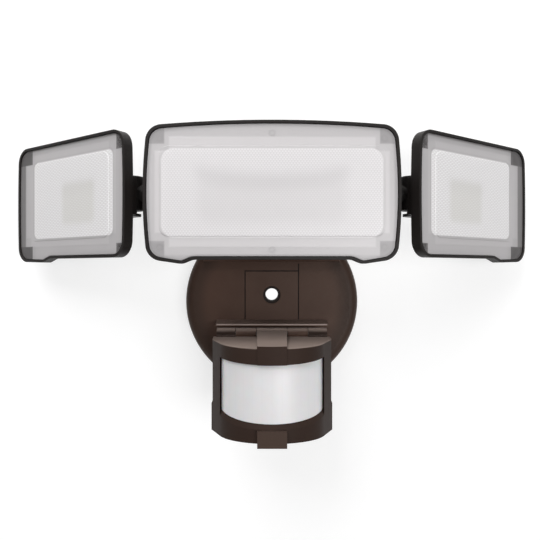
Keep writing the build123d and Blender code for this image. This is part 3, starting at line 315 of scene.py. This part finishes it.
def cover(name, side, zones, pitch, tones, alpha):
    """The clear cover: a frosted flange with its steps, and a milky dimpled window with painted
    shade in an arc across its upper part.

    side is -1 for the left head, 0 for the middle one and 1 for the right one. Across, a side
    head's zones run from its outer end to its knuckle.
    """
    tree = Tree(name)
    across, _, up = tree.split(head_frame(tree, side))
    if side:
        across = tree.times(across, -side)
    window = rounded_mask(tree, across, up, zones["window"], 0.0006)
    around = rounded_mask(tree, across, up, zones["window"], 0.0022)
    step = notched_mask(tree, across, up, zones["step"], 0.0007)
    border = rounded_mask(tree, across, up, zones["border"], 0.0009)
    led = rounded_mask(tree, across, up, zones["led"], zones["led_soft"])
    # painted shade: a dark band bent into an arc across the window's upper part
    bent = tree.math("ADD", up, tree.times(tree.times(across, across), ARC_SHADE_BEND))
    arc_shade = rounded_mask(tree, across, bent, zones["arc_shade"], 0.005)
    centred = tree.math("SUBTRACT", across, zones["corner_shift"])
    corners = notched_mask(tree, centred, up, zones["corners"], 0.0004)

    dots = tree.times(dimples(tree, across, up, *pitch), window)
    pane = tree.mix(dots, tones["window"], tones["dot"])
    pane = tree.mix(tree.times(led, LED_SHARE), pane, tones["led"])
    # painted shade laid over the window
    pane = tree.mix(tree.times(arc_shade, tones["arc_shade"]), pane, ARC_SHADE_TONE)

    flange = tree.mix(step, tones["outer"], tones["flange"])
    flange = tree.mix(border, tones["border"], flange)
    flange = tree.mix(corners, tones["corner"], flange)
    line = tree.times(tree.math("SUBTRACT", around, window), LINE_SHARE)
    flange = tree.mix(line, flange, tones["border"])

    height = tree.math("ADD", tree.times(dots, 0.2), step)
    material = tree.set(
        Base_Color=tree.mix(window, flange, pane),
        Roughness=0.3,
        Alpha=tree.ramp(window, 0.0, 1.0, *alpha),
        Normal=tree.bump(height, 0.3, 0.0003),
    )
    material.surface_render_method = "BLENDED"
    return material


def sensor_film():
    """Milky lens with the faint columns of its segments showing through from behind."""
    tree = Tree("sensor_lens_film")
    place = tree.place()
    across, back, _ = tree.split(place)
    angle = tree.math("ARCTAN2", across, tree.math("SUBTRACT", NOSE_CENTRE_Y, back))
    column = tree.math("FRACT", tree.times(angle, SEAMS_PER_RADIAN))
    from_middle = tree.math("ABSOLUTE", tree.math("SUBTRACT", column, 0.5))
    seam = tree.ramp(from_middle, 0.40, 0.5)
    cloud = tree.ramp(tree.noise(place, scale=60.0), 0.3, 0.7, 0.0, 0.2)
    base = tree.mix(cloud, rgb(226, 223, 224), rgb(214, 210, 211))
    sides = tree.ramp(tree.math("ABSOLUTE", angle), 0.3, 1.3)
    base = tree.mix(sides, base, rgb(244, 241, 242))
    base = tree.mix(tree.times(seam, 0.05), base, rgb(190, 187, 188))
    return tree.set(
        Base_Color=base, Roughness=0.35, Subsurface_Weight=0.15, Subsurface_Scale=0.004,
    )


MATERIALS = {
    # the third colour of each powder coat is the painted light on its upward faces
    "bronze_coat": powder_coat(
        "bronze_powder_coat", rgb(78, 57, 47), rgb(94, 74, 64), rgb(110, 94, 86),
        specular=0.2, canopy=True,
    ),
    "charcoal_coat": powder_coat(
        "charcoal_powder_coat", rgb(25, 21, 20), rgb(38, 34, 32), rgb(46, 42, 40), specular=0.25
    ),
    "sensor_plastic": moulded(
        "sensor_moulding", rgb(50, 38, 33), rgb(56, 43, 37), 0.6, lit_top_colour=PAINTED_TOP_LIGHT, specular=0.1
    ),
    "grey_silicone": moulded("pale_silicone", rgb(166, 163, 163), rgb(156, 153, 153), 0.6),
    "white_reflector": moulded("reflector_white", rgb(228, 225, 225), rgb(220, 217, 217), 0.35),
    "white_board": moulded("board_white", rgb(222, 222, 216), rgb(212, 212, 206), 0.4),
    "led": moulded("led_phosphor", rgb(232, 206, 120), rgb(222, 192, 100), 0.3),
    "rubber": moulded("black_rubber", rgb(34, 33, 33), rgb(42, 41, 41), 0.7),
    "steel": metal("zinc_plate", rgb(196, 194, 190)),
    "dark_steel": metal("dark_oxide", rgb(66, 60, 56), 0.42),
    "green_board": moulded("board_green", rgb(36, 96, 56), rgb(30, 84, 48), 0.35),
    "component_blue": moulded("relay_blue", rgb(44, 84, 150), rgb(38, 76, 140), 0.35),
    "can_metal": metal("bright_can", rgb(206, 206, 204), 0.22),
    "light_cell": moulded("cell_resin", rgb(196, 120, 70), rgb(180, 104, 58), 0.25),
    "knob_plastic": moulded("knob_black", rgb(40, 39, 39), rgb(48, 47, 47), 0.45),
    "sensor_lens": sensor_film(),
}
MIDDLE_COVER = {
    "zones": {
        "window": (-0.0628, 0.0628, 0.0400, 0.0905, 0.007),
        "step": (0.0665, 0.0345, 0.0968, 0.008),
        "corners": (0.0800, 0.0190, 0.1120, 0.0190),
        "corner_shift": 0.0,
        "border": (-0.0695, 0.0695, 0.0300, 0.1040, 0.008),
        "led": (-0.0420, 0.0420, 0.0480, 0.0730, 0.008),
        "led_soft": 0.0050,
        "arc_shade": (-0.0430, 0.0430, 0.0680, 0.0765, 0.004),
    },
    "pitch": (0.0017, 0.00113),
    "tones": {
        "window": rgb(228, 225, 226),
        "dot": rgb(246, 244, 245),
        "flange": rgb(232, 229, 230),
        "outer": rgb(218, 215, 216),
        "border": rgb(204, 201, 202),
        "corner": rgb(190, 187, 188),
        "led": rgb(220, 217, 218),
        "arc_shade": 0.22,
    },
    "alpha": (0.6, 0.78),
}
SIDE_COVER = {
    "zones": {
        "window": (-0.0355, 0.0430, 0.0421, 0.0927, 0.004),
        "step": (0.0455, 0.0368, 0.0975, 0.006),
        "corners": (0.0600, 0.0192, 0.1100, 0.0180),
        "corner_shift": 0.004,
        "border": (-0.0460, 0.0600, 0.0200, 0.1005, 0.003),
        "led": (-0.0050, 0.0260, 0.0507, 0.0760, 0.0035),
        "led_soft": 0.0030,
        "arc_shade": (-0.0065, 0.0275, 0.0690, 0.0770, 0.003),
    },
    "pitch": (0.0032, 0.00105),
    "tones": {
        "window": rgb(236, 233, 234),
        "dot": rgb(255, 255, 255),
        "flange": rgb(216, 213, 214),
        "outer": rgb(208, 205, 206),
        "border": rgb(144, 141, 141),
        "corner": rgb(108, 105, 105),
        "led": rgb(216, 214, 206),
        "arc_shade": 0.08,
    },
    "alpha": (0.62, 0.84),
}
COVERS = {
    "middle_lens": cover("middle_cover", 0, **MIDDLE_COVER),
    "left_lens": cover("left_cover", -1, **SIDE_COVER),
    "right_lens": cover("right_cover", 1, **SIDE_COVER),
}
SLOTS = {part["node"]: part["material_slot"] for part in frame["record"]["subparts"]}
for name, node in NODES.items():
    material = COVERS.get(name) or MATERIALS[SLOTS[name]]
    node.data.materials.clear()
    node.data.materials.append(material)


# ---- the wall behind, with the wall box's opening, and a floor below ----
STAGE_GREY = (0.45, 0.45, 0.45, 1)
STAGE_GLOW = 0.645
STAGE_REACH = 1.6
STAGE_FRONT_Y = -2.4
WALL_Y = 0.0004
OPENING_R = 0.05
FLOOR_Z = -0.9


def stage_material(name):
    """A pale surface: lit and shadowed as it is, with white added where rays come from the camera.

    From behind it lets light through, so that views from inside the wall show the part.
    """
    tree = Tree(name)
    tree.set(Base_Color=STAGE_GREY, Roughness=0.9, Specular_IOR_Level=0.0)
    rays = tree.nodes.new("ShaderNodeLightPath")
    seen = tree.math("MAXIMUM", rays.outputs["Is Camera Ray"], rays.outputs["Is Glossy Ray"])
    seen = tree.math("MAXIMUM", seen, rays.outputs["Is Transmission Ray"])
    glow = tree.nodes.new("ShaderNodeEmission")
    glow.inputs["Color"].default_value = (1, 1, 1, 1)
    tree.feed(glow.inputs["Strength"], tree.times(seen, STAGE_GLOW))
    add = tree.nodes.new("ShaderNodeAddShader")
    tree.links.new(tree.shader.outputs[0], add.inputs[0])
    tree.links.new(glow.outputs[0], add.inputs[1])
    clear = tree.nodes.new("ShaderNodeBsdfTransparent")
    behind = tree.nodes.new("ShaderNodeNewGeometry").outputs["Backfacing"]
    choose = tree.nodes.new("ShaderNodeMixShader")
    tree.links.new(behind, choose.inputs[0])
    tree.links.new(add.outputs[0], choose.inputs[1])
    tree.links.new(clear.outputs[0], choose.inputs[2])
    tree.links.new(choose.outputs[0], tree.output.inputs[0])
    return tree.material


def add_mesh(name, points, faces, material):
    mesh = bpy.data.meshes.new(name)
    mesh.from_pydata(points, [], faces)
    mesh.materials.append(material)
    made = bpy.data.objects.new(name, mesh)
    scene.collection.objects.link(made)
    return made


def wall_with_opening(count=64):
    """A square wall that faces -Y, with a round opening behind the canopy."""
    points, faces = [], []
    for index in range(count):
        angle = 2 * math.pi * index / count
        c, s = math.cos(angle), math.sin(angle)
        reach = STAGE_REACH / max(abs(c), abs(s))
        points += [(OPENING_R * c, WALL_Y, OPENING_R * s), (reach * c, WALL_Y, reach * s)]
    for index in range(count):
        a, b = 2 * index, 2 * ((index + 1) % count)
        faces.append((a, a + 1, b + 1, b))
    return points, faces


floor_points = [
    (-STAGE_REACH, WALL_Y, FLOOR_Z),
    (-STAGE_REACH, STAGE_FRONT_Y, FLOOR_Z),
    (STAGE_REACH, STAGE_FRONT_Y, FLOOR_Z),
    (STAGE_REACH, WALL_Y, FLOOR_Z),
]
wall = add_mesh("wall", *wall_with_opening(), stage_material("wall_paint"))
floor = add_mesh("floor", floor_points, [(0, 1, 2, 3)], stage_material("floor_paint"))

# ---- light: a dim sky that the camera sees as white, and three softboxes ----
SKY_LIGHT = 0.25
SKY_SHOWN = 1.0
world = bpy.data.worlds.new("studio")
scene.world = world
world.use_nodes = True
sky = world.node_tree.nodes["Background"]
sky.inputs["Color"].default_value = (1, 1, 1, 1)
rays = world.node_tree.nodes.new("ShaderNodeLightPath")
strength = world.node_tree.nodes.new("ShaderNodeMapRange")
strength.inputs["To Min"].default_value = SKY_LIGHT
strength.inputs["To Max"].default_value = SKY_SHOWN
world.node_tree.links.new(rays.outputs["Is Camera Ray"], strength.inputs["Value"])
world.node_tree.links.new(strength.outputs[0], sky.inputs["Strength"])

# name, place, what it is aimed at, width and height, watts
SOFTBOXES = (
    ("key_light", (-0.40, -0.85, 0.75), (0, 0, 0), (0.6, 0.6), 6.5),
    ("fill_light", (0.50, -1.10, -0.10), (0, 0, 0), (0.7, 0.5), 6.0),
    ("top_light", (0.0, -0.45, 1.0), (0, -0.05, 0), (0.8, 0.4), 4.5),
)
for name, place, target, size, power in SOFTBOXES:
    data = bpy.data.lights.new(name, "AREA")
    data.shape = "RECTANGLE"
    data.size, data.size_y = size
    data.energy = power
    lamp = bpy.data.objects.new(name, data)
    scene.collection.objects.link(lamp)
    lamp.location = place
    gaze = Vector(target) - Vector(place)
    lamp.rotation_euler = gaze.to_track_quat("-Z", "Y").to_euler()

# ---- camera, level and square to the wall ----
camera_data = bpy.data.cameras.new("camera")
camera_data.lens = 35.0
camera_data.sensor_width = 36.0
camera_data.clip_start = 0.01
camera = bpy.data.objects.new("camera", camera_data)
camera.location = (-0.0012, -0.380, 0.0216)
camera.rotation_euler = (math.pi / 2, 0, 0)
scene.collection.objects.link(camera)
scene.camera = camera
scene.view_settings.view_transform = "Standard"
